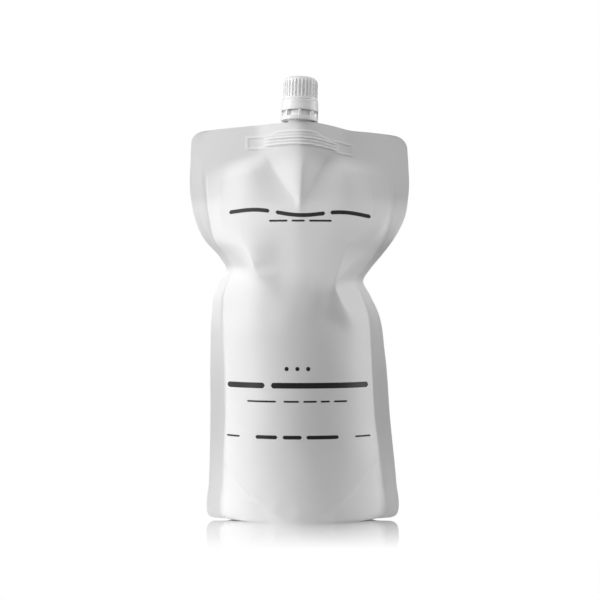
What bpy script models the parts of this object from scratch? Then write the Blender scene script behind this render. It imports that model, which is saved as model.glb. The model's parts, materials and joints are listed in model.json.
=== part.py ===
"""Hand soap refill pack: a stand-up film pouch with a moulded spout and a ribbed screw cap.

Frame: metres, +Z up, front of the pouch towards -Y, +X to the right. The origin is the centre of the
base. The pouch holds its soap, so it is one solid. The spout sits in the pouch's top seal and leans a
little to the right and back, and the tamper band, the sealing wad and the cap share its axis.
"""

import math

import bmesh
import bpy
import numpy as np
from mathutils import Matrix, Vector

MM = 0.001

# --- driving dimensions, in millimetres ---------------------------------------------------------

FILM = 0.6            # two sealed layers of film
SEAL = 8.0            # width of the side seals
CLEARANCE = 0.3       # between pieces that touch
TOP = 233.6           # height of the pouch's top edge beside the neck

# Side edges of the pouch as (height, x): wide foot, narrow waist, flat full-width head.
LEFT_EDGE = ((0, -54.3), (4, -55.0), (22, -53.9), (59, -52.7), (98, -52.7), (122, -52.0), (132, -51.1),
             (140, -46.7), (147, -43.2), (154, -46.7), (164, -55.6), (178, -62.2), (192, -65.0),
             (216, -65.0), (226, -64.6), (TOP, -58.0))
RIGHT_EDGE = ((0, 57.3), (4, 58.4), (22, 57.2), (59, 53.4), (98, 50.3), (122, 46.2), (133, 40.3),
              (140, 37.3), (147, 41.5), (154, 47.3), (164, 55.0), (178, 62.4), (192, 65.0),
              (212, 65.0), (224, 62.5), (TOP, 57.0))
# Half of the pouch's depth on its centre line as (height, depth): full up to the waist.
HALF_DEPTH = ((0, 25.0), (4, 26.2), (14, 27.6), (45, 28.8), (97, 29.5), (124, 28.5), (138, 24.5),
              (152, 19.0), (170, 14.0), (192, 10.5), (216, 8.3), (TOP, 8.3))
# The head leans back: the seal plane's y as (height, y).
SEAL_PLANE = ((0, 0.0), (60, 0.0), (124, 0.3), (150, 1.4), (190, 4.0), (216, 5.9), (TOP, 7.4))
STATIONS = (0, 1.5, 4, 9, 18, 32, 50, 70, 90, 106, 118, 127, 134, 140, 147, 154, 160, 167, 176, 186,
            197, 208, 215, 219, 230, TOP)
ACROSS = 22           # divisions of one face from edge to edge
TENT_FROM = 140.0     # between these heights the rounded section becomes a tent
TENT_TO = 200.0
SEAL_FROM = 210.0     # between these heights the tent closes to the flat top seal
SEAL_TO = 219.0
BOAT_COVER = 25.0     # half width of the film's bump over the spout's boat
BASE_RINGS = ((0.93, 0.0), (0.70, 4.0), (0.40, 7.0))    # hollow of the base: (scale, height)
BASE_RISE = 8.0       # top of the hollow, at the centre

LEAN_RIGHT = math.radians(2.0)    # the spout's lean towards +X
LEAN_BACK = math.radians(5.0)     # and towards +Y, with the pouch's head
AXIS_FOOT = (-0.1, 7.4, TOP)      # a point on the spout's axis, level with the pouch's top edge

# Heights below are along the spout's axis, from AXIS_FOOT.
BOAT_LOW = -13.0
BOAT_HIGH = -2.5
BOAT_HALF_WIDTH = 22.0
BOAT_HALF_DEPTH = 7.4
BOAT_GROOVE = 0.4
BOAT_GROOVES = 3
BORE_R = 5.2
STEM_R = 6.9
NECK_R = 7.5
THREAD_R = 8.2        # outer radius of the thread, kept as two plain collars here
THREADS = (19.4, 13.4)            # middles of those collars
BEAD_R = 8.6          # the bead that holds the tamper band down
BEAD = 4.6            # its middle
COLLAR_HALF = 0.4     # half height of a collar's flat, and of the bead's
COLLAR_SLOPE = 0.8    # height of the slope above and below it
NECK_TOP = 23.3
NECK_SHOULDER = 1.3   # where the neck steps in to the stem
NECK_BEVEL = 0.6

BAND_LOW = 1.1
BAND_RIM_TOP = 3.1
BAND_TOP = 6.4
BAND_R = 11.1
BAND_INNER_R = 9.2
POSTS = 8
POST_WIDTH = 1.6
POST_THICK = 1.1
POST_INSET = 0.2

CAP_LOW = BAND_TOP + CLEARANCE
CAP_TOP = 27.1
CAP_R = 9.8
CAP_SKIRT_R = 11.2
CAP_CAVITY_R = 8.6
CAP_CEILING = 24.9
CAP_SHOULDER = 4.5
RIBS = 30
RIB_WIDTH = 1.1
RIB_HEIGHT = 0.45
RIB_LOW = 13.6
RIB_HIGH = 24.4
LIP = 0.5             # the step below the ribs
LIP_HIGH = 13.2
LIP_LOW = 11.0
SKIRT_HIGH = 8.2

WAD_R = 8.2
WAD_LOW = NECK_TOP + CLEARANCE
WAD_HIGH = CAP_CEILING - CLEARANCE

# --- helpers --------------------------------------------------------------------------------------


def collection(name):
    """A new collection in the scene."""
    made = bpy.data.collections.new(name)
    bpy.context.scene.collection.children.link(made)
    return made


def material(name, colour, roughness):
    """A plain Principled material."""
    made = bpy.data.materials.new(name)
    made.use_nodes = True
    shader = made.node_tree.nodes["Principled BSDF"]
    shader.inputs["Base Color"].default_value = (*colour, 1.0)
    shader.inputs["Roughness"].default_value = roughness
    return made


def add_object(name, mesh, group, finish=None):
    """An object on a mesh, in a collection, with its material."""
    made = bpy.data.objects.new(name, mesh)
    group.objects.link(made)
    if finish:
        made.data.materials.append(finish)
    return made


def smooth_curve(points, at):
    """Values at the given heights on a smooth curve through (height, value) points."""
    knots, values = np.array(points, dtype=float).T
    slopes = np.gradient(values, knots)
    at = np.clip(at, knots[0], knots[-1])
    left = np.clip(np.searchsorted(knots, at, side="right") - 1, 0, len(knots) - 2)
    span = knots[left + 1] - knots[left]
    t = (at - knots[left]) / span
    start = (1 + 2 * t) * (1 - t) ** 2 * values[left] + t * (1 - t) ** 2 * span * slopes[left]
    end = t * t * (3 - 2 * t) * values[left + 1] - t * t * (1 - t) * span * slopes[left + 1]
    return start + end


def smooth_step(low, high, value):
    """0 below low, 1 above high, and an S-curve between."""
    t = np.clip((value - low) / (high - low), 0.0, 1.0)
    return t * t * (3 - 2 * t)


def arc_height(x, half_chord, rise):
    """Height at x of a circular arc with this half chord and rise, and 0 outside it."""
    radius = (half_chord ** 2 + rise ** 2) / (2 * rise)
    inside = np.clip(radius ** 2 - x ** 2, 0.0, None)
    return np.clip(np.sqrt(inside) - (radius - rise), 0.0, None)


def loft(name, rings, end_cap, group, finish=None):
    """A solid through closed rings of equal count, from the top one down; end_cap closes its foot."""
    mesh = bmesh.new()
    rows = [[mesh.verts.new(Vector(point) * MM) for point in ring] for ring in rings]
    count = len(rows[0])
    for upper, lower in zip(rows, rows[1:]):
        for i in range(count):
            j = (i + 1) % count
            mesh.faces.new((upper[i], lower[i], lower[j], upper[j]))
    mesh.faces.new(rows[0])
    end_cap(mesh, rows[-1])
    bmesh.ops.recalc_face_normals(mesh, faces=mesh.faces)
    data = bpy.data.meshes.new(name)
    mesh.to_mesh(data)
    mesh.free()
    return add_object(name, data, group, finish)


def flat_cap(mesh, row):
    """Close a ring with one face."""
    mesh.faces.new(row[::-1])


def point_cap(mesh, row):
    """Close a ring with a fan to a point at the base hollow's top."""
    tip = mesh.verts.new(Vector((0.0, 0.0, BASE_RISE)) * MM)
    for i in range(len(row)):
        mesh.faces.new((row[i], tip, row[(i + 1) % len(row)]))


def turned(name, profile, group, finish=None, steps=48):
    """A solid of revolution about Z: a closed profile of (radius, height), outer side top to bottom."""
    mesh = bmesh.new()
    points = [mesh.verts.new((radius * MM, 0.0, height * MM)) for radius, height in profile]
    closed = profile[0][0] > 0
    pairs = list(zip(points, points[1:]))
    if closed:
        pairs.append((points[-1], points[0]))
    for first, second in pairs:
        mesh.edges.new((first, second))
    data = bpy.data.meshes.new(name)
    mesh.to_mesh(data)
    mesh.free()
    made = add_object(name, data, group, finish)
    screw = made.modifiers.new("turn", "SCREW")
    screw.steps = steps
    screw.render_steps = steps
    screw.use_merge_vertices = True
    screw.merge_threshold = 0.00001
    return made


def boxes(name, places, size, group):
    """One mesh of separate boxes about the Z axis: places are (angle, radius, height)."""
    mesh = bmesh.new()
    for angle, radius, height in places:
        cube = bmesh.ops.create_cube(mesh, size=1.0)["verts"]
        bmesh.ops.scale(mesh, vec=Vector(size) * MM, verts=cube)
        bmesh.ops.translate(mesh, vec=Vector((radius, 0.0, height)) * MM, verts=cube)
        bmesh.ops.rotate(mesh, cent=(0, 0, 0), verts=cube, matrix=Matrix.Rotation(angle, 3, "Z"))
    data = bpy.data.meshes.new(name)
    mesh.to_mesh(data)
    mesh.free()
    return add_object(name, data, group)


def combine(target, tool, operation):
    """Join or cut a piece with a helper solid, which stays out of the model."""
    tool.hide_render = True
    tool.display_type = "WIRE"
    step = target.modifiers.new(tool.name, "BOOLEAN")
    step.operation = operation
    step.object = tool
    step.solver = "EXACT"


def place_on_axis(axis, *pieces):
    """Stand pieces on the spout's axis."""
    for piece in pieces:
        piece.parent = axis


# --- the pouch ------------------------------------------------------------------------------------


def pouch_depth(x, height):
    """Half depth of the pouch at x across a station: a round belly, then a tent, then the top seal."""
    left = smooth_curve(LEFT_EDGE, height)
    right = smooth_curve(RIGHT_EDGE, height)
    half_chord = (right - left) / 2 - SEAL
    offset = x - (left + right) / 2
    rise = smooth_curve(HALF_DEPTH, height)
    belly = arc_height(offset, half_chord, rise)
    tent = rise * np.clip(1 - np.abs(offset) / half_chord, 0.0, None)
    body = belly + (tent - belly) * smooth_step(TENT_FROM, TENT_TO, height)
    boat = arc_height(x, BOAT_COVER, rise)
    return FILM / 2 + body + (boat - body) * smooth_step(SEAL_FROM, SEAL_TO, height)


def pouch_ring(height):
    """The pouch's outline at one height: the front face from left to right, then the back."""
    left = smooth_curve(LEFT_EDGE, height)
    right = smooth_curve(RIGHT_EDGE, height)
    across = (1 - np.cos(np.linspace(0.0, math.pi, ACROSS + 1))) / 2
    x = left + (right - left) * across
    depth = pouch_depth(x, height)
    plane = smooth_curve(SEAL_PLANE, height)
    level = np.full_like(x, height)
    front = np.column_stack((x, plane - depth, level))
    back = np.column_stack((x, plane + depth, level))
    return np.concatenate((front, back[::-1]))


def make_pouch(group, cutters, finish, axis):
    """The sealed pouch with its soap: one solid, hollow only where the spout stands in it."""
    rings = [pouch_ring(height) for height in reversed(STATIONS)]
    middle = np.array(((LEFT_EDGE[0][1] + RIGHT_EDGE[0][1]) / 2, 0.0))
    for scale, height in BASE_RINGS:
        ring = rings[len(STATIONS) - 1].copy()
        ring[:, :2] = middle + (ring[:, :2] - middle) * scale
        ring[:, 2] = height
        rings.append(ring)
    pouch = loft("pouch", rings, point_cap, group, finish)
    boat_room = lens_prism("boat_room", BOAT_LOW - CLEARANCE, BOAT_HIGH + CLEARANCE, CLEARANCE, 0, cutters)
    above = 10.0
    stem_room = turned("stem_room", ((0.0, above), (STEM_R + CLEARANCE, above),
                                     (STEM_R + CLEARANCE, BOAT_LOW + 1.0), (0.0, BOAT_LOW + 1.0)), cutters)
    place_on_axis(axis, boat_room, stem_room)
    combine(pouch, boat_room, "DIFFERENCE")
    combine(pouch, stem_room, "DIFFERENCE")
    return pouch


# --- the spout, its band, wad and cap -----------------------------------------------------------------


def lens_ring(height, grow, sink):
    """The boat's pointed oval outline at one height, grown or sunk by a distance."""
    half_width = BOAT_HALF_WIDTH + grow
    rise = BOAT_HALF_DEPTH + grow - sink
    x = half_width * np.sin(np.linspace(-math.pi / 2, math.pi / 2, 13))
    y = arc_height(x, half_width, rise)
    level = np.full_like(x, height)
    front = np.column_stack((x, -y, level))
    back = np.column_stack((x, y, level))
    return np.concatenate((front, back[-2:0:-1]))


def lens_prism(name, low, high, grow, grooves, group, finish=None):
    """An upright prism of the boat's outline, with level grooves in its sides for the weld ribs."""
    rings = [lens_ring(high, grow, 0.0)]
    pitch = (high - low) / (2 * grooves + 1)
    for i in range(2 * grooves):
        level = high - (i + 1) * pitch
        edge = pitch * 0.15
        inward, outward = (0.0, BOAT_GROOVE) if i % 2 == 0 else (BOAT_GROOVE, 0.0)
        rings.append(lens_ring(level + edge, grow, inward))
        rings.append(lens_ring(level - edge, grow, outward))
    rings.append(lens_ring(low, grow, 0.0))
    return loft(name, rings, flat_cap, group, finish)


def collar(middle, radius):
    """Part of the neck's profile, from the top down: a slope out to a short flat, and a slope back."""
    high = middle + COLLAR_HALF
    low = middle - COLLAR_HALF
    return (NECK_R, high + COLLAR_SLOPE), (radius, high), (radius, low), (NECK_R, low - COLLAR_SLOPE)


def make_spout(group, cutters, finish, axis):
    """The moulded spout: a ribbed boat, a stem, a threaded neck with a bead, and one bore through it."""
    spout = lens_prism("spout", BOAT_LOW, BOAT_HIGH, 0.0, BOAT_GROOVES, group, finish)
    overlap = BOAT_LOW + 2.0
    threads = [point for middle in THREADS for point in collar(middle, THREAD_R)]
    neck = turned("neck_shape", (
        (0.0, NECK_TOP), (NECK_R - NECK_BEVEL, NECK_TOP), (NECK_R, NECK_TOP - NECK_BEVEL),
        *threads, *collar(BEAD, BEAD_R), (NECK_R, NECK_SHOULDER), (STEM_R, NECK_SHOULDER),
        (STEM_R, overlap), (0.0, overlap)), cutters)
    bore = turned("bore_shape", ((0.0, NECK_TOP + 1.0), (BORE_R, NECK_TOP + 1.0),
                                 (BORE_R, BOAT_LOW - 1.0), (0.0, BOAT_LOW - 1.0)), cutters, steps=32)
    place_on_axis(axis, spout, neck, bore)
    combine(spout, neck, "UNION")
    combine(spout, bore, "DIFFERENCE")
    return spout


def make_tamper_band(group, cutters, finish, axis):
    """The tamper band: a rim with eight posts, held under the neck's bead when the cap is turned off."""
    band = turned("tamper_band", ((BAND_R, BAND_RIM_TOP), (BAND_R, BAND_LOW),
                                  (BAND_INNER_R, BAND_LOW), (BAND_INNER_R, BAND_RIM_TOP)), group, finish)
    sunk = 1.0
    tall = BAND_TOP - BAND_RIM_TOP + sunk
    middle = BAND_TOP - tall / 2
    places = [(math.tau * i / POSTS, BAND_R - POST_INSET - POST_THICK / 2, middle) for i in range(POSTS)]
    posts = boxes("post_shapes", places, (POST_THICK, POST_WIDTH, tall), cutters)
    place_on_axis(axis, band, posts)
    combine(band, posts, "UNION")
    return band


def make_sealing_wad(group, finish, axis):
    """The soft disc in the top of the cap that presses on the neck's rim."""
    wad = turned("sealing_wad", ((0.0, WAD_HIGH), (WAD_R, WAD_HIGH), (WAD_R, WAD_LOW), (0.0, WAD_LOW)),
                 group, finish)
    place_on_axis(axis, wad)
    return wad


def make_screw_cap(group, cutters, finish, axis):
    """The cap: a shouldered cup with grip ribs, flared into a skirt at its foot."""
    shoulder = [(CAP_R - CAP_SHOULDER * (1 - math.sin(turn)), CAP_TOP - CAP_SHOULDER * (1 - math.cos(turn)))
                for turn in (0.0, 0.5, 1.0, math.pi / 2)]
    cap = turned("screw_cap", (
        (0.0, CAP_TOP), *shoulder, (CAP_R, RIB_LOW), (CAP_R + LIP, LIP_HIGH), (CAP_R + LIP, LIP_LOW),
        (CAP_SKIRT_R, SKIRT_HIGH), (CAP_SKIRT_R, CAP_LOW), (CAP_CAVITY_R, CAP_LOW),
        (CAP_CAVITY_R, CAP_CEILING), (0.0, CAP_CEILING)), group, finish)
    sunk = 0.4
    places = [(math.tau * i / RIBS, CAP_R + (RIB_HEIGHT - sunk) / 2, (RIB_LOW + RIB_HIGH) / 2)
              for i in range(RIBS)]
    ribs = boxes("rib_shapes", places, (RIB_HEIGHT + sunk, RIB_WIDTH, RIB_HIGH - RIB_LOW), cutters)
    place_on_axis(axis, cap, ribs)
    combine(cap, ribs, "UNION")
    return cap


def main():
    """Clear the scene and build the pack."""
    for old in list(bpy.data.objects):
        bpy.data.objects.remove(old)
    group = collection("hand_soap_refill_pack")
    cutters = collection("cutters")
    film = material("matte_white_film", (0.86, 0.86, 0.86), 0.55)
    plastic = material("white_cap_plastic", (0.85, 0.85, 0.85), 0.38)
    foam = material("white_wad_foam", (0.80, 0.80, 0.78), 0.7)
    axis = bpy.data.objects.new("spout_axis", None)
    axis.location = Vector(AXIS_FOOT) * MM
    axis.rotation_euler = (-LEAN_BACK, LEAN_RIGHT, 0.0)
    group.objects.link(axis)
    make_pouch(group, cutters, film, axis)
    round_pieces = (make_spout(group, cutters, plastic, axis),
                    make_tamper_band(group, cutters, plastic, axis),
                    make_sealing_wad(group, foam, axis),
                    make_screw_cap(group, cutters, plastic, axis))
    for piece in round_pieces:
        piece.data.shade_smooth()


main()
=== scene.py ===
"""Looks of the hand soap refill pack: a matte white film pouch, a moulded spout and a ribbed cap.

Shapes are worked out in millimetres as whole numpy arrays and turned to metres when a mesh is made.
The pouch is a surface through named fold lines. The round pieces are profiles turned about the spout's
axis, which comes from the frame.
"""
import json
import math

import bpy
import numpy as np
from mathutils import Matrix, Vector


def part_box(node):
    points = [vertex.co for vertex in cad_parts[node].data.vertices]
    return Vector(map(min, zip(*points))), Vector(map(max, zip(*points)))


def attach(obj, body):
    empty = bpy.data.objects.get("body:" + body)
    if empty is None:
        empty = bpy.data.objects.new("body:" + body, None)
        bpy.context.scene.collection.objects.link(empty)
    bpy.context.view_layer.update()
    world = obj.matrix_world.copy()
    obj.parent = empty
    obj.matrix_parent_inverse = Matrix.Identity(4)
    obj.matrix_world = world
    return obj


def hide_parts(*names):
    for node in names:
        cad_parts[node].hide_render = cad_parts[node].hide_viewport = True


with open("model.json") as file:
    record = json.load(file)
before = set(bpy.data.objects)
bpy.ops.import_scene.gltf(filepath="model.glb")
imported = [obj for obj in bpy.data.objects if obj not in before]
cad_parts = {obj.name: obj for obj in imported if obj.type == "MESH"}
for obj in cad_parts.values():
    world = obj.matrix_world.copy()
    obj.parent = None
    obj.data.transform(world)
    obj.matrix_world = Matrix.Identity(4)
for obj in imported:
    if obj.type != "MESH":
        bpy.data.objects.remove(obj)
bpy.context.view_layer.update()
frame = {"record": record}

MM = 0.001
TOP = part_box("pouch")[1][2] / MM   # top edge of the film beside the neck
CAP_JOINT = next(joint for joint in frame["record"]["behaviour"]["joints"] if joint["name"] == "cap_turn")
AXIS_FOOT = Vector(CAP_JOINT["pos_m"])
AXIS = Vector(CAP_JOINT["axis"]).normalized()

# --- the pouch's outline and folds, in millimetres ---------------------------------------------------

FILM_HALF = 0.18                  # half of the two welded films
FILM_MIDDLE = 1.5                 # x of the middle of the foot, a little right of the spout
HEAD_CORNER = 6.0                 # radius of the film's top corners
FOOT_CORNER = 3.5                 # and of its bottom corners
LEFT_EDGE = ((0, -53.8), (4, -54.5), (22, -53.4), (59, -52.5), (98, -52.5), (122, -51.6), (132, -50.4),
             (140, -46.7), (147, -43.2), (154, -46.7), (164, -55.6), (178, -62.2), (192, -65.0),
             (216, -65.0), (TOP, -64.4))
RIGHT_EDGE = ((0, 57.0), (4, 58.1), (22, 57.0), (59, 53.4), (98, 50.3), (122, 46.3), (133, 41.1),
              (140, 37.6), (147, 41.5), (154, 47.3), (164, 55.0), (178, 62.4), (192, 65.0),
              (212, 65.0), (TOP, 64.0))
# Width of the side seals as it shows, and how far their outer edge swings back at the waist.
SEAL_WIDTH = ((0, 8.0), (110, 7.6), (132, 5.5), (147, 4.0), (160, 5.0), (176, 8.0), (TOP, 8.0))
SEAL_SWING = ((0, 1.8), (60, 2.4), (110, 3.0), (145, 4.0), (157, 2.0), (170, 0.6), (185, 0.0), (TOP, 0.0))
SEAL_PLANE = ((0, 0.0), (60, 0.0), (124, 0.3), (150, 1.4), (190, 4.0), (216, 5.9), (TOP, 7.4))
HALF_DEPTH = ((0, 25.0), (4, 26.0), (14, 27.4), (45, 28.6), (97, 29.2), (124, 28.2), (140, 25.0))
TOP_EDGE = ((-66, 228.3), (-61, 229.1), (-32, 232.0), (-12, 233.3), (9, 233.6), (20, 231.8), (30, 229.6),
            (42, 228.6), (56, 227.0), (66, 224.8))

# Fold lines of the front film, from left to right: (height, x, depth) down each line.
FOLD_LINES = {
    "left_flank": ((110, -34, 15.6), (126, -33.5, 15.0), (139, -32.5, 14.0), (147, -33.0, 10.3),
                   (155, -36.5, 9.2), (163, -41.5, 6.8), (178, -46, 4.0), (192, -47, 2.4), (206, -46, 1.3),
                   (217, -45, 0.4)),
    "left_fold": ((110, -15, 26.7), (126, -16, 25.7), (137, -20.8, 23.8), (146.8, -26.2, 21.6),
                  (154, -28.6, 18.4), (163, -32.2, 14.0), (178, -33.5, 9.8), (192, -30, 8.2),
                  (205, -28.5, 5.6), (217, -28, 0.4)),
    "left_valley": ((110, -8, 28.6), (126, -8, 27.8), (139, -9.5, 25.6), (149.5, -11, 22.1), (163, -10, 18.6),
                    (176, -7, 15.3), (186, -2.2, 11.6), (195, -8.5, 7.0), (205, -14.5, 3.2),
                    (217, -20.3, 0.8)),
    "nose": ((110, 0, 28.9), (126, 0, 28.3), (139, 0, 26.5), (149.5, 0, 23.4), (163, 0, 19.6),
             (176, 0.2, 15.8), (186, 0.4, 12.5), (195, 1.0, 11.2), (205, 1.8, 10.2), (217, 2.8, 9.0)),
    "right_valley": ((110, 8, 27.8), (126, 7, 27.6), (139, 7, 26), (149.5, 7.5, 23.1), (163, 7, 19.2),
                     (176, 5.5, 15.4), (186, 3.0, 11.6), (195, 7.2, 8.0), (205, 12, 4.2), (217, 17.9, 0.8)),
    "right_ridge": ((110, 16, 25.2), (126, 12, 26.2), (139, 14, 25.3), (149.5, 17, 22), (163, 21, 17),
                    (176, 25, 12.8), (191, 28.8, 8.5), (205, 26.5, 5.6), (217, 24.4, 0.6)),
    "right_fold": ((110, 24, 20.7), (120, 19.8, 24), (129, 19, 25), (138, 19.9, 24.9), (142, 21.0, 23.8),
                   (148, 23.2, 21.2), (156, 25.7, 17.8), (162, 29.3, 14.6), (167.5, 35, 10.8), (173, 41, 7.4),
                   (184, 44, 4.2), (200, 41, 2.6), (217, 37, 0.4)),
    "side_fold": ((110, 30, 16.6), (118, 29.3, 18.6), (129, 24, 22.6), (137, 21.2, 24.2), (140, 22.4, 22.9),
                  (145.4, 26.4, 18.6), (151, 30.5, 14.4), (158, 36.3, 9.6), (166, 44, 5.8), (173, 49.5, 3.2),
                  (182, 51, 2.0), (192, 50.5, 1.4), (204, 48.5, 0.8), (217, 46, 0.3)),
}
# How sharp each line is along its height, from 0, smooth, to 1, a fold.
FOLD_SHARPNESS = {
    "left_fold": ((138, 0), (144, 0.6), (147, 1), (153, 0.7), (161, 0)),
    "left_valley": ((180, 0), (192, 0.6), (217, 0.8)),
    "nose": ((180, 0), (190, 0.4), (217, 0.5)),
    "right_valley": ((180, 0), (192, 0.6), (217, 0.8)),
    "right_ridge": ((180, 0), (195, 0.4), (217, 0.5)),
    "right_fold": ((118, 0), (130, 0.5), (139, 1), (150, 0.9), (166, 0.7), (178, 0)),
    "side_fold": ((115, 0.1), (130, 0.6), (139, 1), (160, 1), (172, 0.5), (182, 0)),
}
COLUMNS = (10, 8, 22, 18, 16, 16, 16, 14, 12, 16, 10)    # divisions from line to line, seals included
HEAD_ROWS = 40                    # rows in the head's welded seal, where the relief is fine
BODY_ROWS = 192
FOOT_ROWS = 9
BASE_ROWS = 24
WELD_FOOT = 213.0                 # below the top seal's relief
FOOT_TOP = 6.0                    # top of the rows at the foot
FOLDS_BEGIN = (100.0, 126.0)      # heights over which the plain belly passes into the folds
SIDE_SOFTENS = (155.0, 175.0)     # heights over which the fold along the side seals softens
SEAL_BEGINS = (207.0, 219.5)      # heights over which the folds pass into the top seal
COVER_DEPTH = 8.3                 # how far the film stands out over the spout's boat
COVER_WIDTH = 26.0
COVER_MIDDLE = 1.2
COVER_ROUND = 0.20                # how round the ridge of that film is, as a part of its width
HEAD_HALF = 65.0
HEAD_CURL = 12.0                  # how far the head's side edges bend back
CURL_BEGINS = (160.0, 190.0)
FOLD_ROUNDING = 3                 # passes that round the folds as film does
WELD_RIDGES = ((219.6, 0.7), (221.6, 0.45), (223.4, 0.6), (225.2, 0.3), (227.0, 0.4))   # height, strength
RIDGE_HALF = 22.0                 # half the length of those ridges over the boat
RIDGE_WIDTH = 0.5
SEAL_SLOPE = 0.037                # fall of the top seal to the right
BASE_WELD = (3.0, 36.0, 46.0)     # the base's curved weld: lowest, rise to the sides, half width
BASE_STEP = 1.6                   # how far the film stands back below that weld
GUSSET_RISE = 13.0                # rise of the base's fold between the two films
GUSSET_HALF = 53.0

# --- helpers -----------------------------------------------------------------------------------------


def smooth_curve(points, at, column=1):
    """Value at each height of a cubic through (height, value) points, level beyond its ends."""
    table = np.array(points, dtype=float)
    knots, values = table[:, 0], table[:, column]
    slopes = np.gradient(values, knots)
    at = np.clip(at, knots[0], knots[-1])
    left = np.clip(np.searchsorted(knots, at, side="right") - 1, 0, len(knots) - 2)
    span = knots[left + 1] - knots[left]
    t = (at - knots[left]) / span
    start = (1 + 2 * t) * (1 - t) ** 2 * values[left] + t * (1 - t) ** 2 * span * slopes[left]
    end = t * t * (3 - 2 * t) * values[left + 1] - t * t * (1 - t) * span * slopes[left + 1]
    return start + end


def smooth_step(low, high, value):
    """0 at low, 1 at high, and 3t^2 - 2t^3 between."""
    t = np.clip((value - low) / (high - low), 0.0, 1.0)
    return t * t * (3 - 2 * t)


def bell(distance, width):
    """exp(-(distance / width)^2)."""
    return np.exp(-(distance / width) ** 2)


def arc_height(x, half_chord, rise):
    """Height at x of the circular arc with this half chord and rise, 0 beyond its ends."""
    radius = (half_chord ** 2 + rise ** 2) / (2 * rise)
    return np.clip(np.sqrt(np.clip(radius ** 2 - x ** 2, 0.0, None)) - (radius - rise), 0.0, None)


def make_piece(name, points, faces, finish, smooth_angle=50.0):
    """A mesh object from points in millimetres and quads; a quad that repeats a corner is a triangle."""
    corners = [tuple(dict.fromkeys(face)) for face in faces.tolist()]
    mesh = bpy.data.meshes.new(name)
    mesh.from_pydata((points * MM).tolist(), [], corners)
    mesh.validate()
    mesh.shade_smooth()
    mesh.set_sharp_from_angle(angle=math.radians(smooth_angle))
    mesh.materials.append(finish)
    piece = bpy.data.objects.new(name, mesh)
    bpy.context.scene.collection.objects.link(piece)
    return piece


def grid_faces(rows, columns, wrap_rows=False, wrap_columns=False):
    """Quads of a grid of points numbered row by row, each running down a row and then across."""
    row = np.arange(rows if wrap_rows else rows - 1)[:, None]
    column = np.arange(columns if wrap_columns else columns - 1)[None, :]
    below = (row + 1) % rows
    beside = (column + 1) % columns
    corners = (row * columns + column, below * columns + column,
               below * columns + beside, row * columns + beside)
    quads = np.stack([np.broadcast_to(c, (row.size, column.size)) for c in corners], -1)
    return quads.reshape(-1, 4)


# --- the pouch ---------------------------------------------------------------------------------------


def side_edges(height):
    """x of the film's left and right edges at each height, with round corners at head and foot."""
    head = np.clip(height - (TOP - HEAD_CORNER), 0.0, HEAD_CORNER)
    foot = np.clip(FOOT_CORNER - height, 0.0, FOOT_CORNER)
    inset = HEAD_CORNER - np.sqrt(HEAD_CORNER ** 2 - head ** 2)
    inset += FOOT_CORNER - np.sqrt(FOOT_CORNER ** 2 - foot ** 2)
    return smooth_curve(LEFT_EDGE, height) + inset, smooth_curve(RIGHT_EDGE, height) - inset


def fold_surface(height):
    """x and depth on a grid: across each height, depth is a cubic in x through the fold lines.

    The slope at a line is the weighted mean of the slopes on its two sides, or at a sharp line each
    side's own slope, so the surface folds there.
    """
    left, right = side_edges(height)
    seal = smooth_curve(SEAL_WIDTH, height)
    flat = np.full_like(height, FILM_HALF)
    xs = [left, left + seal]
    depths = [flat, flat]
    for line in FOLD_LINES.values():
        xs.append(smooth_curve(line, height, 1))
        depths.append(smooth_curve(line, height, 2))
    xs += [right - seal, right]
    depths += [flat, flat]
    xs, depths = np.array(xs), np.array(depths)
    names = [None, "seal", *FOLD_LINES, "seal", None]
    seal_fold = 1 - 0.8 * smooth_step(*SIDE_SOFTENS, height)
    sharp = np.array([seal_fold if name == "seal"
                      else smooth_curve(FOLD_SHARPNESS[name], height) if name in FOLD_SHARPNESS
                      else np.zeros_like(height) for name in names])
    gaps = np.diff(xs, axis=0)
    slopes = np.diff(depths, axis=0) / gaps
    before = np.concatenate((slopes[:1], slopes))
    after = np.concatenate((slopes, slopes[-1:]))
    gap_before = np.concatenate((gaps[:1], gaps))
    gap_after = np.concatenate((gaps, gaps[-1:]))
    mean = (gap_after * before + gap_before * after) / (gap_before + gap_after)
    leaving = mean + sharp * (after - mean)
    arriving = mean + sharp * (before - mean)
    grid_x, grid_depth = [xs[0]], [depths[0]]
    for k, count in enumerate(COLUMNS):
        t = (np.arange(1, count + 1) / count)[:, None]
        grid_x.extend(xs[k] + gaps[k] * t)
        start = (1 + 2 * t) * (1 - t) ** 2 * depths[k] + t * (1 - t) ** 2 * gaps[k] * leaving[k]
        end = t * t * (3 - 2 * t) * depths[k + 1] - t * t * (1 - t) * gaps[k] * arriving[k + 1]
        grid_depth.extend(start + end)
    return np.array(grid_x).T, np.array(grid_depth).T


def head_relief(x, z):
    """Depth added by the weld of the top seal: ridges over the boat and the outline of the weld bar."""
    tilt = z + SEAL_SLOPE * (x - 1.0)
    panel = smooth_step(22.5, 20.0, np.abs(x - 1.0)) * smooth_step(218.6, 219.6, tilt)
    roof = 228.4 - 3.4 * smooth_step(8.0, 22.0, np.abs(x + 2.0))
    panel *= smooth_step(roof + 0.5, roof - 0.3, tilt)
    arch = 1.0 * (1 - (x / RIDGE_HALF) ** 2)
    ridges = sum(strength * bell(tilt - arch - level, RIDGE_WIDTH) for level, strength in WELD_RIDGES)
    bar_x = np.abs(x - 0.2) - 31.0
    bar_z = np.abs(tilt - 221.7) - 3.5
    outside = np.hypot(np.clip(bar_x, 0, None), np.clip(bar_z, 0, None))
    bar = outside + np.minimum(np.maximum(bar_x, bar_z), 0.0)
    outline = 0.42 * bell(bar, RIDGE_WIDTH) * smooth_step(17.0, 23.0, np.abs(x))
    return panel * (0.15 + ridges) + outline


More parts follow.
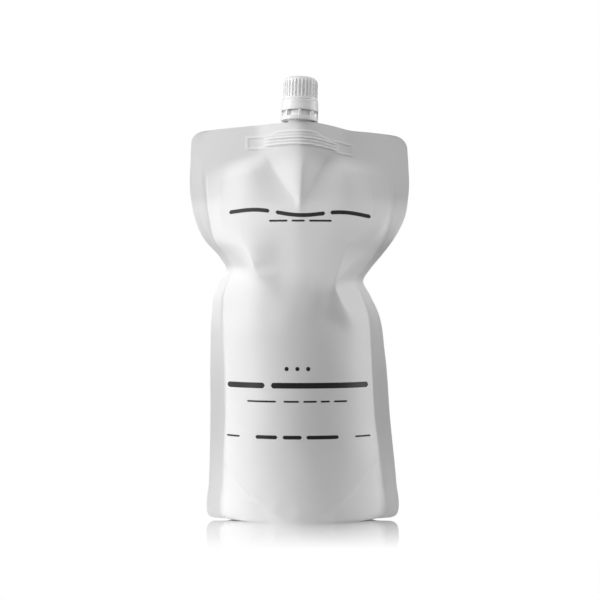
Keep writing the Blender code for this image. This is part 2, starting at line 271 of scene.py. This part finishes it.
def foot_relief(x, z):
    """Depth added below the belly: a step down past the base's curved weld, and small dents."""
    lowest, rise, half = BASE_WELD
    weld = lowest + rise * (np.abs(x - 0.5) / half) ** 2.3
    step = -BASE_STEP * smooth_step(weld + 1.0, weld - 1.0, z) * smooth_step(2.0, 9.0, weld)
    dents = 0.35 * bell(np.hypot(x + 14.0, z - 9.0), 4.0) - 0.3 * bell(np.hypot(x + 22.0, z - 9.5), 4.0)
    dents += 0.3 * bell(np.hypot(x + 1.0, z - 6.0), 4.0)
    return step + dents


def soft_waves(x, z):
    """Slow unevenness of filled film: three crossed sines."""
    return (0.16 * np.sin(x / 9.0 + z / 23.0) + 0.12 * np.sin(z / 11.0 - x / 17.0 + 1.3)
            + 0.07 * np.sin(x / 4.7 + z / 6.1 + 0.4))


def rounded(depth):
    """Each inner point moved to the mean of itself and its neighbours, a few times over."""
    for _ in range(FOLD_ROUNDING):
        inner = depth[1:-1, 1:-1]
        around = depth[:-2, 1:-1] + depth[2:, 1:-1] + depth[1:-1, :-2] + depth[1:-1, 2:]
        depth = depth.copy()
        depth[1:-1, 1:-1] = 0.5 * inner + 0.125 * around
    return depth


def pouch_faces():
    """x, z, front y and back y of the film on one grid, from the top row down."""
    rows = np.concatenate((np.linspace(TOP, WELD_FOOT, HEAD_ROWS),
                           np.linspace(WELD_FOOT, FOOT_TOP, BODY_ROWS)[1:],
                           np.linspace(FOOT_TOP, 0.0, FOOT_ROWS)[1:]))
    x, folded = fold_surface(rows)
    z = np.broadcast_to(rows[:, None], x.shape)
    left, right = (edge[:, None] for edge in side_edges(rows))
    seal = smooth_curve(SEAL_WIDTH, rows)[:, None]
    half_chord = (right - left) / 2 - seal
    bulge = smooth_curve(HALF_DEPTH, rows)[:, None]
    belly = FILM_HALF + arc_height(x - (left + right) / 2, half_chord, bulge)
    depth = belly + rounded((folded - belly) * smooth_step(*FOLDS_BEGIN, z))
    fall = np.hypot((x - COVER_MIDDLE) / COVER_WIDTH, COVER_ROUND)
    cover = COVER_DEPTH * (math.hypot(1, COVER_ROUND) - fall) / (math.hypot(1, COVER_ROUND) - COVER_ROUND)
    cover = (cover + np.hypot(cover, 1.0)) / 2
    sweep = 0.6 * np.clip(-22.0 - x, 0.0, 32.0) + 0.35 * np.clip(x - 20.0, 0.0, 32.0)
    depth += (FILM_HALF + cover - depth) * smooth_step(*SEAL_BEGINS, z + 0.5 * sweep)
    filled = smooth_step(0.0, 4.0, depth)
    waves = soft_waves(x, z) * filled
    weld = head_relief(x, z)
    plane = smooth_curve(SEAL_PLANE, rows)[:, None]
    plane = plane + HEAD_CURL * np.abs(x / HEAD_HALF) ** 1.4 * smooth_step(*CURL_BEGINS, z)
    outer = np.maximum((left + seal - x) / seal, (x - right + seal) / seal)
    plane = plane + smooth_curve(SEAL_SWING, rows)[:, None] * np.clip(outer, 0.0, 1.0)
    plane = plane + 0.5 * np.sin(z / 14.0) * smooth_step(0.0, 1.0, outer)
    front = plane - depth - waves - weld - foot_relief(x, z) * filled
    back = plane + depth + soft_waves(x + 40.0, z + 25.0) * filled + weld
    lift = 1.0 * smooth_step(30.0, 55.0, np.abs(x - FILM_MIDDLE)) * smooth_step(25.0, 0.0, z)
    drop = (smooth_curve(TOP_EDGE, x) - TOP) * smooth_step(195.0, TOP, z)
    return x, z + lift + drop, front, back


def base_gusset(x, z, front, back):
    """The base between the two films' foot edges: each line from front to back rises in a fold."""
    v = (np.arange(1, BASE_ROWS + 1) / (BASE_ROWS + 1))[:, None]
    rise = GUSSET_RISE * np.clip(1 - (np.abs(x - FILM_MIDDLE) / GUSSET_HALF) ** 2.4, 0.0, None)
    level = z + rise * (1 - np.abs(2 * v - 1) ** 1.7)
    return np.broadcast_to(x, level.shape), front + (back - front) * v, level


def make_pouch(finish):
    """The film bag: front film, base gusset and back film as one closed loop, zipped at its sides."""
    x, z, front, back = pouch_faces()
    base_x, base_y, base_z = base_gusset(x[-1], z[-1], front[-1], back[-1])
    loop = np.stack((np.concatenate((x, base_x, x[::-1])), np.concatenate((front, base_y, back[::-1])),
                     np.concatenate((z, base_z, z[::-1]))), -1)
    rows, columns = loop.shape[:2]
    skin = grid_faces(rows, columns, wrap_rows=True)
    near = np.arange(rows // 2 - 1)
    far = rows - 1 - near
    left = np.stack((near, far, far - 1, near + 1), -1) * columns
    right = left[:, ::-1] + columns - 1
    return make_piece("film_pouch", loop.reshape(-1, 3), np.concatenate((skin, left, right)), finish)


# --- print on the front film ---------------------------------------------------------------------------


READ_HALF = 60.0                  # the front film is read this far either side, in steps
READ_STEP = 0.4


class FrontFilm:
    """The front film's y at any x and height, read from the pouch's own grid."""

    def __init__(self):
        x, z, front, _ = pouch_faces()
        self.xs = np.arange(-READ_HALF, READ_HALF, READ_STEP)
        self.table = np.array([np.interp(self.xs, row_x, row_y)
                               for row_x, row_y in zip(x[::-1], front[::-1])])
        self.heights = z[::-1, x.shape[1] // 2]

    def y(self, x, z):
        """Linear in x and in height between the grid's points."""
        row = np.clip(np.searchsorted(self.heights, z) - 1, 0, len(self.heights) - 2)
        column = np.clip(((x - self.xs[0]) / READ_STEP).astype(int), 0, len(self.xs) - 2)
        up = (z - self.heights[row]) / (self.heights[row + 1] - self.heights[row])
        along = (x - self.xs[column]) / READ_STEP
        low = self.table[row, column] * (1 - along) + self.table[row, column + 1] * along
        high = self.table[row + 1, column] * (1 - along) + self.table[row + 1, column + 1] * along
        return low * (1 - up) + high * up


INK_HALF = 0.05                   # half the thickness of the ink's slab
BAR_ROWS = 5                      # rows of points across a bar
HEAD_MARK = 179.8                 # height of the waved row
# Rows of bars, in millimetres: height, thickness and the (left, right) ends of each bar.
PRINT_ROWS = (
    (HEAD_MARK, 2.3, ((-41.5, -17.5), (-14.0, 15.0), (18.0, 42.0))),
    (175.2, 1.1, ((-18.0, -6.8), (-4.8, 3.3), (5.4, 19.0))),
    (89.4, 2.4, ((-8.6, -6.2), (-2.4, 0.0), (3.8, 6.2))),
    (79.8, 3.2, ((-42.3, -20.0), (-16.5, 40.2))),
    (70.6, 1.0, ((-30.5, -13.3), (-9.4, 0.0), (2.0, 10.2), (12.1, 17.6), (19.6, 27.8))),
    (50.0, 2.1, ((-25.5, -12.7), (-9.8, 1.4), (3.9, 22.7))),
    (50.0, 1.0, ((-42.7, -34.5), (32.0, 41.8))),
)


def ink_patch(film, x, z):
    """Points and quads of a thin closed slab of ink over a grid of (x, height) on the front film."""
    rows, columns = x.shape
    y = film.y(x, z)
    top = np.stack((x, y - INK_HALF, z), -1).reshape(-1, 3)
    under = np.stack((x, y + INK_HALF, z), -1).reshape(-1, 3)
    faces = grid_faces(rows, columns)
    rim = np.concatenate((np.arange(columns), np.arange(1, rows) * columns + columns - 1,
                          np.arange(columns - 2, -1, -1) + (rows - 1) * columns,
                          np.arange(rows - 2, 0, -1) * columns))
    following = np.roll(rim, -1)
    count = rows * columns
    sides = np.stack((rim, following, following + count, rim + count), -1)
    return np.concatenate((top, under)), np.concatenate((faces, faces[:, ::-1] + count, sides))


def bar(left, right, middle, thick, arch=None):
    """A bar of ink from left to right about a height or a curve, with half-round ends."""
    along = np.linspace(-1.0, 1.0, max(12, int((right - left) / 0.7)))
    radius = thick / 2
    x = (left + right) / 2 + along * (right - left) / 2
    to_end = np.clip(np.minimum(x - left, right - x) / radius, 0.0, 1.0)
    half = radius * np.sqrt(np.clip(1 - (1 - to_end) ** 2, 0.0, 1.0)) + 0.02
    centre = middle + (arch(x) if arch else 0.0 * x)
    across = np.linspace(1.0, -1.0, BAR_ROWS)[:, None]
    return np.broadcast_to(x, (BAR_ROWS, x.size)), centre + across * half


def head_arch(x):
    """The head mark's line: crests either side of a dip, and a fall to the right."""
    return -1.3 * np.cos(x / 41.0 * 1.6 * math.pi) - 0.03 * x


def make_print(finish):
    """Plain ink marks: a waved row of bars over a finer one on the head, dots and bars on the belly."""
    film = FrontFilm()
    marks = [bar(left, right, middle, thick, head_arch if middle == HEAD_MARK else None)
             for middle, thick, spans in PRINT_ROWS for left, right in spans]
    points, faces, count = [], [], 0
    for x, z in marks:
        patch, quads = ink_patch(film, x, z)
        points.append(patch)
        faces.append(quads + count)
        count += len(patch)
    return make_piece("print_marks", np.concatenate(points), np.concatenate(faces), finish, 40.0)


# --- round pieces about the spout's axis, heights above the film's top edge ------------------------------

CAP_TOP = 27.1
CAP_R = 10.25
CAP_SHOULDER = 4.0
GROOVE_R = 9.6
GROOVE_FOOT = 14.6
RIBS = 30
SKIRT_R = 11.15
CAP_FOOT = 6.7
CAP_CAVITY_R = 8.65
CAP_CEILING = 24.9
NECK_TOP = 23.3
NECK_R = 7.45
THREAD_R = 8.2
THREAD_PITCH = 3.0
BORE_R = 5.2
BAND_R = 11.05
BAND_INNER_R = 9.25
BAND_FOOT = 0.8
BAND_RIM = 3.1
BAND_TOP = 6.64
BAND_SIDES = 160
POSTS = 8
POST_WIDTH = 1.5
POST_DEPTH = 1.1
POST_INSET = 0.62                 # from the band's outside to the middle of a post
POST_SIDES = 20
POST_FLARE = ((BAND_RIM - 0.4, 1.35), (BAND_RIM + 0.3, 1.05), (4.6, 1.0), (5.8, 1.0), (BAND_TOP - 0.1, 0.9),
              (BAND_TOP, 0.7))    # height, and size there as a part of the post's own
NECK_SIDES = 96                   # divisions round the neck and the wad
RIB_SIDES = 16                    # divisions of the cap for each rib
PIN = 0.02                        # radius at which a section that reaches the axis begins
BOAT_TOP = -6.0
BOAT_FOOT = -13.0
BOAT_HALF = 18.0
BOAT_DEPTH = 5.8
BOAT_GROOVES = 2.5                # sine waves of grooves down the boat's wall
BOAT_GROOVE = 0.35                # their depth
BOAT_LEVELS = 32
BOAT_SIDE = 25                    # points along one side of the boat


def fine_profile(points, step=0.35):
    """A profile of (radius, height) corners with points added along its straight runs."""
    corners = np.array(points, dtype=float)
    out = [corners[:1]]
    for start, end in zip(corners, corners[1:]):
        count = max(1, int(np.hypot(*(end - start)) / step))
        out.append(start + (end - start) * (np.arange(1, count + 1) / count)[:, None])
    return np.concatenate(out)


def fillet(points, radius, steps=4):
    """A closed profile with each corner rounded: a quadratic curve from side to side of the corner."""
    corners = np.array(points, dtype=float)
    out = []
    for i, corner in enumerate(corners):
        back = corners[i - 1] - corner
        ahead = corners[(i + 1) % len(corners)] - corner
        reach = min(radius, np.hypot(*back) * 0.45, np.hypot(*ahead) * 0.45)
        start = corner + back / np.hypot(*back) * reach
        end = corner + ahead / np.hypot(*ahead) * reach
        t = np.linspace(0.0, 1.0, steps + 1)[:, None]
        out.append((1 - t) ** 2 * start + 2 * t * (1 - t) * corner + t * t * end)
    return np.concatenate(out)


def on_axis(points):
    """Points from the spout's own frame, front towards -Y, to the pack's."""
    side = Vector((1.0, 0.0, 0.0))
    side = (side - AXIS * side.dot(AXIS)).normalized()
    turn = np.array(Matrix((side, AXIS.cross(side), AXIS)))
    return points @ turn + np.array(AXIS_FOOT) / MM


def turned(radius, height, angles, closed):
    """Points and quads of a surface of revolution: radius may change round each height too."""
    radius = np.broadcast_to(radius, (len(height), len(angles)))
    points = np.stack((radius * np.cos(angles), radius * np.sin(angles),
                       np.broadcast_to(height[:, None], radius.shape)), -1)
    return points.reshape(-1, 3), grid_faces(len(height), len(angles), closed, True)


def cap_profile():
    """The cap's section from the middle of its top, down the outside and up the inside."""
    turn = np.linspace(0.0, math.pi / 2, 14)
    shoulder = np.stack((CAP_R - CAP_SHOULDER * (1 - np.sin(turn)),
                         CAP_TOP - CAP_SHOULDER * (1 - np.cos(turn))), -1)
    dish = fine_profile(((PIN, CAP_TOP - 0.12), (3.6, CAP_TOP - 0.12), (4.1, CAP_TOP), (6.1, CAP_TOP)), 0.8)
    wall = fine_profile(((CAP_R, CAP_TOP - CAP_SHOULDER - 0.3), (CAP_R, GROOVE_FOOT + 0.15)), 1.2)
    lip = fine_profile(((CAP_R, GROOVE_FOOT), (CAP_R, 14.0), (CAP_R + 0.3, 13.8), (CAP_R + 0.35, 13.2),
                        (CAP_R + 0.1, 13.0), (CAP_R + 0.1, 12.6), (CAP_R + 0.5, 12.3), (CAP_R + 0.55, 10.4),
                        (SKIRT_R - 0.05, 7.9), (SKIRT_R, 7.3), (SKIRT_R - 0.05, CAP_FOOT + 0.12),
                        (SKIRT_R - 0.2, CAP_FOOT)))
    inside = fine_profile(((CAP_CAVITY_R + 0.2, CAP_FOOT), (CAP_CAVITY_R, CAP_FOOT + 0.3),
                           (CAP_CAVITY_R, CAP_CEILING - 0.4), (CAP_CAVITY_R - 0.4, CAP_CEILING),
                           (PIN, CAP_CEILING)), 1.2)
    return np.concatenate((dish[:-1], shoulder, wall, lip, inside))


def make_cap(finish):
    """The screw cap: a turned shell with grip grooves cut to one depth all round.

    A groove is where the fraction of a pitch from its middle is small. Its wall stands at GROOVE_R.
    """
    section = cap_profile()
    angles = np.arange(RIBS * RIB_SIDES) * math.tau / (RIBS * RIB_SIDES) - math.pi / 2
    pitch = np.abs((angles * RIBS / math.tau) % 1.0 - 0.5)
    groove = smooth_step(0.36, 0.25, pitch)
    r, z = section[:, :1], section[:, 1]
    cut = (z > GROOVE_FOOT + 0.1) & (r[:, 0] > GROOVE_R)
    radius = np.where(cut[:, None], r - (r - GROOVE_R) * groove, r)
    points, faces = turned(radius, z, angles, closed=True)
    return make_piece("ribbed_cap", on_axis(points), faces, finish, 38.0)


def make_band(finish):
    """The tamper band: a turned rim and eight rounded posts that stand on it."""
    section = fillet(((BAND_R, BAND_RIM), (BAND_R, BAND_FOOT), (BAND_INNER_R, BAND_FOOT),
                      (BAND_INNER_R, BAND_RIM)), 0.4)
    angles = np.arange(BAND_SIDES) * math.tau / BAND_SIDES
    points, faces = turned(section[:, :1], section[:, 1], angles, closed=True)
    all_points, all_faces, count = [points], [faces], len(points)
    turn = np.arange(POST_SIDES) * math.tau / POST_SIDES
    squircle = (np.abs(np.cos(turn)) ** 4 + np.abs(np.sin(turn)) ** 4) ** -0.25
    depth = POST_DEPTH / 2 * squircle * np.cos(turn)
    width = POST_WIDTH / 2 * squircle * np.sin(turn)
    levels, flare = np.array(POST_FLARE).T[..., None]
    quads = grid_faces(len(levels), POST_SIDES, False, True)[:, ::-1]
    ring = np.arange(POST_SIDES)
    after = (ring + 1) % POST_SIDES
    top_ring = (len(levels) - 1) * POST_SIDES
    foot_middle = np.full(POST_SIDES, len(levels) * POST_SIDES)
    foot = np.stack((after, ring, foot_middle, foot_middle), -1)
    head = np.stack((ring + top_ring, after + top_ring, foot_middle + 1, foot_middle + 1), -1)
    for i in range(POSTS):
        spin = math.tau * i / POSTS
        r = BAND_R - POST_INSET + depth * flare
        w = width * flare
        post = np.stack((r * math.cos(spin) - w * math.sin(spin), r * math.sin(spin) + w * math.cos(spin),
                         np.broadcast_to(levels, r.shape)), -1)
        caps = np.stack([post[row].mean(0) for row in (0, -1)])
        all_points.append(np.concatenate((post.reshape(-1, 3), caps)))
        all_faces.append(np.concatenate((quads, foot, head)) + count)
        count += len(all_points[-1])
    return make_piece("band_with_posts", on_axis(np.concatenate(all_points)), np.concatenate(all_faces),
                      finish, 45.0)


def make_spout(finish):
    """The spout: a turned neck with a raised helix for its thread, a stem, and the ribbed boat.

    The thread stands where height minus pitch times turns is near a whole number of pitches.
    """
    outer = fine_profile(((BORE_R + 0.4, NECK_TOP), (NECK_R - 0.5, NECK_TOP), (NECK_R, NECK_TOP - 0.5),
                          (NECK_R, 7.8), (NECK_R + 0.3, 7.3), (8.2, 6.7), (9.05, 6.45), (9.1, 3.6),
                          (8.8, 3.2), (8.4, 1.5), (6.9, 1.2), (6.9, -11.0)), 0.3)
    bore = fine_profile(((BORE_R + 0.4, -13.0), (BORE_R, -12.6), (BORE_R, NECK_TOP - 0.4)), 2.0)
    section = np.concatenate((outer, bore))
    angles = np.arange(NECK_SIDES) * math.tau / NECK_SIDES
    r, z = section[:, :1], section[:, 1]
    phase = (z[:, None] / THREAD_PITCH - angles / math.tau) % 1.0 - 0.5
    run = smooth_step(8.0, 10.0, z) * smooth_step(22.3, 20.5, z)
    on_wall = np.abs(r[:, 0] - NECK_R) < 0.05
    thread = (THREAD_R - NECK_R) * smooth_step(0.26, 0.12, np.abs(phase)) * (run * on_wall)[:, None]
    points, faces = turned(r + thread, z, angles, closed=True)
    boat_points, boat_faces = boat_shell()
    return make_piece("threaded_spout", on_axis(np.concatenate((points, boat_points))),
                      np.concatenate((faces, boat_faces + len(points))), finish, 45.0)


def boat_shell():
    """The boat's wall: a pointed oval of two arcs at each level, sunk in grooves between its weld ribs."""
    levels = np.linspace(BOAT_TOP, BOAT_FOOT, BOAT_LEVELS)
    down = (levels - BOAT_FOOT) / (BOAT_TOP - BOAT_FOOT)
    groove = BOAT_GROOVE * smooth_step(0.2, 0.8, np.sin(down * BOAT_GROOVES * math.tau))
    across = np.sin(np.linspace(-math.pi / 2, math.pi / 2, BOAT_SIDE))
    x = np.concatenate((across, across[-2:0:-1])) * BOAT_HALF
    side = np.concatenate((-np.ones(BOAT_SIDE), np.ones(BOAT_SIDE - 2)))
    y = side * arc_height(x, BOAT_HALF, BOAT_DEPTH) * (1 - groove[:, None] / BOAT_DEPTH)
    points = np.stack((np.broadcast_to(x, y.shape), y, np.broadcast_to(levels[:, None], y.shape)), -1)
    faces = grid_faces(BOAT_LEVELS, x.size, False, True)
    j = np.arange(1, x.size - 1)
    ends = np.stack((0 * j, j, j + 1, 0 * j), -1)
    lids = np.concatenate((ends, ends[:, ::-1] + (BOAT_LEVELS - 1) * x.size))
    return points.reshape(-1, 3), np.concatenate((faces, lids))


def make_wad(finish):
    """The sealing disc: a turned section with a shallow ring pressed in by the neck."""
    section = fillet(((PIN, 24.6), (8.15, 24.6), (8.15, 23.6), (6.6, 23.6), (6.4, 23.75), (PIN, 23.75)), 0.2)
    angles = np.arange(NECK_SIDES) * math.tau / NECK_SIDES
    points, faces = turned(section[:, :1], section[:, 1], angles, closed=True)
    return make_piece("foam_wad", on_axis(points), faces, finish)


# --- materials ----------------------------------------------------------------------------------------


def linear(hex_colour):
    """sRGB hex to linear RGBA."""
    values = [int(hex_colour[i:i + 2], 16) / 255 for i in (1, 3, 5)]
    return (*(v / 12.92 if v <= 0.04045 else ((v + 0.055) / 1.055) ** 2.4 for v in values), 1.0)


def add_node(tree, kind, settings=None, links=None):
    """A node with its properties and sockets set: links map input names to output sockets."""
    node = tree.nodes.new(kind)
    for name, value in (settings or {}).items():
        if name in node.inputs:
            node.inputs[name].default_value = value
        else:
            setattr(node, name, value)
    for name, socket in (links or {}).items():
        tree.links.new(socket, node.inputs[name])
    return node


def new_material(name):
    """A material with an empty tree, its output and object coordinates in metres."""
    made = bpy.data.materials.new(name)
    made.use_nodes = True
    tree = made.node_tree
    tree.nodes.clear()
    place = add_node(tree, "ShaderNodeTexCoord").outputs["Object"]
    return made, tree, place, add_node(tree, "ShaderNodeOutputMaterial")


def matte_white_film():
    """White laminated film with a matte outer layer: even and chalky, with a broad soft highlight,
    faint clouding 36 mm across and the fine orange peel of print film, 0.9 mm across."""
    made, tree, place, output = new_material("matte_laminate_film")
    clouds = add_node(tree, "ShaderNodeTexNoise", {"Scale": 28.0, "Detail": 2.0}, {"Vector": place})
    tone = add_node(tree, "ShaderNodeMix", {"data_type": "RGBA"}, {"Factor": clouds.outputs["Fac"]})
    tone.inputs[6].default_value = linear("#F1F1F1")
    tone.inputs[7].default_value = linear("#F5F5F5")
    peel = add_node(tree, "ShaderNodeTexNoise", {"Scale": 1100.0, "Detail": 3.0}, {"Vector": place})
    bump = add_node(tree, "ShaderNodeBump", {"Strength": 0.12, "Distance": 0.0001},
                    {"Height": peel.outputs["Fac"]})
    gloss = add_node(tree, "ShaderNodeMapRange", {"To Min": 0.44, "To Max": 0.54},
                     {"Value": clouds.outputs["Fac"]})
    shader = add_node(tree, "ShaderNodeBsdfPrincipled", {"IOR": 1.5},
                      {"Base Color": tone.outputs[2], "Roughness": gloss.outputs["Result"],
                       "Normal": bump.outputs["Normal"]})
    tree.links.new(shader.outputs["BSDF"], output.inputs["Surface"])
    return made


def moulded_polyethylene(name, shade, roughness):
    """Injection-moulded white polyethylene: satin, with fine flow grain 0.5 mm across and 1.25 mm long."""
    made, tree, place, output = new_material(name)
    stretch = add_node(tree, "ShaderNodeMapping", {"Scale": (1.0, 1.0, 0.4)}, {"Vector": place})
    grain = add_node(tree, "ShaderNodeTexNoise", {"Scale": 2000.0, "Detail": 2.0},
                     {"Vector": stretch.outputs["Vector"]})
    bump = add_node(tree, "ShaderNodeBump", {"Strength": 0.08, "Distance": 0.0001},
                    {"Height": grain.outputs["Fac"]})
    shader = add_node(tree, "ShaderNodeBsdfPrincipled",
                      {"Base Color": linear(shade), "Roughness": roughness, "IOR": 1.51},
                      {"Normal": bump.outputs["Normal"]})
    tree.links.new(shader.outputs["BSDF"], output.inputs["Surface"])
    return made


def printing_ink():
    """Black flexo ink on film: nearly black, as matte as the film, with a faint speckle 0.7 mm across."""
    made, tree, place, output = new_material("black_flexo_ink")
    speckle = add_node(tree, "ShaderNodeTexNoise", {"Scale": 1500.0}, {"Vector": place})
    tone = add_node(tree, "ShaderNodeMix", {"data_type": "RGBA"}, {"Factor": speckle.outputs["Fac"]})
    tone.inputs[6].default_value = linear("#101010")
    tone.inputs[7].default_value = linear("#1E1E1E")
    shader = add_node(tree, "ShaderNodeBsdfPrincipled", {"Roughness": 0.5}, {"Base Color": tone.outputs[2]})
    tree.links.new(shader.outputs["BSDF"], output.inputs["Surface"])
    return made


def expanded_foam():
    """Expanded polyethylene foam: off-white and dull, with cells 0.4 mm across."""
    made, tree, place, output = new_material("expanded_foam")
    cells = add_node(tree, "ShaderNodeTexVoronoi", {"Scale": 2500.0}, {"Vector": place})
    bump = add_node(tree, "ShaderNodeBump", {"Strength": 0.3, "Distance": 0.0002},
                    {"Height": cells.outputs["Distance"]})
    shader = add_node(tree, "ShaderNodeBsdfPrincipled", {"Base Color": linear("#E8E6E0"), "Roughness": 0.8},
                      {"Normal": bump.outputs["Normal"]})
    tree.links.new(shader.outputs["BSDF"], output.inputs["Surface"])
    return made


def studio_floor():
    """White acrylic under flat light: shadowless, with a sharp mirror that fades out 0.14 m in front."""
    made, tree, place, output = new_material("white_acrylic_floor")
    squeezed = add_node(tree, "ShaderNodeMapping", {"Scale": (0.4, 1.0, 1.0)}, {"Vector": place})
    length = add_node(tree, "ShaderNodeVectorMath", {"operation": "LENGTH"},
                      {"Vector": squeezed.outputs["Vector"]})
    near = add_node(tree, "ShaderNodeMapRange", {"From Min": 0.02, "From Max": 0.14, "To Min": 0.95,
                                                 "To Max": 0.0}, {"Value": length.outputs["Value"]})
    seen = add_node(tree, "ShaderNodeLightPath").outputs["Is Camera Ray"]
    strength = add_node(tree, "ShaderNodeMapRange", {"To Min": FLOOR_GLOW, "To Max": 1.0}, {"Value": seen})
    glow = add_node(tree, "ShaderNodeEmission", {"Color": linear("#FFFFFF")},
                    {"Strength": strength.outputs["Result"]})
    mirror = add_node(tree, "ShaderNodeBsdfGlossy", {"Color": linear("#FFFFFF"), "Roughness": 0.0})
    mixed = add_node(tree, "ShaderNodeMixShader")
    tree.links.new(near.outputs["Result"], mixed.inputs[0])
    tree.links.new(glow.outputs["Emission"], mixed.inputs[1])
    tree.links.new(mirror.outputs["BSDF"], mixed.inputs[2])
    tree.links.new(mixed.outputs["Shader"], output.inputs["Surface"])
    return made


# --- floor, light and camera ----------------------------------------------------------------------------

CAMERA_DISTANCE = 1.2             # metres in front of the seal plane
CAMERA_HEIGHT = 0.129
CAMERA_X = 0.0003
LIGHTS_AIM = (0.0, 0.0, 0.13)
VIEW_WIDTH = 0.3528               # width of the view at the seal plane
FLOOR_SIZE = 12.0
FLOOR_GLOW = 0.20                 # light the floor throws on the pack
AMBIENT = 0.28                    # and the surround
# Area lights: name, place, (width, height) in metres, watts.
LIGHTS = (
    ("left_softbox", (-0.91, -0.27, 0.27), (0.45, 0.9), 6.1),
    ("top_left_softbox", (-0.53, -0.31, 0.86), (0.5, 0.5), 2.0),
    ("rim_softbox", (-0.89, 0.32, 0.30), (0.3, 0.8), 1.4),
    ("front_softbox", (0.0, -0.61, 0.858), (0.5, 0.5), 0.9),
    ("right_softbox", (0.93, 0.14, 0.30), (0.5, 0.8), 4.2),
)


def add_light(name, place, target, size, power):
    """A rectangular area light at a place, facing a target; size is (width, height)."""
    light = bpy.data.lights.new(name, "AREA")
    light.shape = "RECTANGLE"
    light.size, light.size_y = size
    light.energy = power
    lamp = bpy.data.objects.new(name, light)
    bpy.context.scene.collection.objects.link(lamp)
    lamp.location = place
    lamp.rotation_euler = (Vector(target) - Vector(place)).to_track_quat("-Z", "Y").to_euler()


def make_stage():
    """A white floor, five soft lights with the strongest on the left, and an even white surround."""
    half = FLOOR_SIZE / 2
    corners = np.array(((-half, -half, 0), (half, -half, 0), (half, half, 0), (-half, half, 0))) / MM
    floor = make_piece("floor", corners, np.array(((0, 1, 2, 3),)), studio_floor())
    for name, place, size, power in LIGHTS:
        add_light(name, place, LIGHTS_AIM, size, power)
    world = bpy.data.worlds.new("studio")
    bpy.context.scene.world = world
    world.use_nodes = True
    tree = world.node_tree
    tree.nodes.clear()
    path = add_node(tree, "ShaderNodeLightPath")
    open_view = add_node(tree, "ShaderNodeMath", {"operation": "MAXIMUM"})
    tree.links.new(path.outputs["Is Camera Ray"], open_view.inputs[0])
    tree.links.new(path.outputs["Is Singular Ray"], open_view.inputs[1])
    strength = add_node(tree, "ShaderNodeMapRange", {"To Min": AMBIENT, "To Max": 1.0},
                        {"Value": open_view.outputs["Value"]})
    ground = add_node(tree, "ShaderNodeBackground", {"Color": (1.0, 1.0, 1.0, 1.0)},
                      {"Strength": strength.outputs["Result"]})
    output = add_node(tree, "ShaderNodeOutputWorld")
    tree.links.new(ground.outputs["Background"], output.inputs["Surface"])
    bpy.context.scene.view_settings.view_transform = "Standard"


def make_camera():
    """A long lens, level with the middle of the pack and square to its front."""
    camera = bpy.data.cameras.new("camera")
    camera.sensor_width = 36.0
    camera.lens = camera.sensor_width * CAMERA_DISTANCE / VIEW_WIDTH
    camera.clip_end = 50.0
    eye = bpy.data.objects.new("camera", camera)
    bpy.context.scene.collection.objects.link(eye)
    eye.location = (CAMERA_X, -CAMERA_DISTANCE, CAMERA_HEIGHT)
    eye.rotation_euler = (math.pi / 2, 0.0, 0.0)
    bpy.context.scene.camera = eye


def main():
    """Make every piece, say what it rides on, hide the part it stands for, and light it."""
    make_camera()
    make_stage()
    film = matte_white_film()
    cap_plastic = moulded_polyethylene("moulded_cap_polyethylene", "#FAFAFA", 0.34)
    spout_plastic = moulded_polyethylene("moulded_spout_polyethylene", "#F8F8F8", 0.42)
    for piece, body, node, slot in (
            (make_pouch(film), "pack", "pouch", "pouch_film"),
            (make_spout(spout_plastic), "pack", "spout", "spout_plastic"),
            (make_band(cap_plastic), "pack", "tamper_band", "cap_plastic"),
            (make_wad(expanded_foam()), "cap_lift", "sealing_wad", "wad_foam"),
            (make_cap(cap_plastic), "cap", "screw_cap", "cap_plastic")):
        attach(piece, body)
        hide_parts(node)
    marks = make_print(printing_ink())
    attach(marks, "pack")


main()
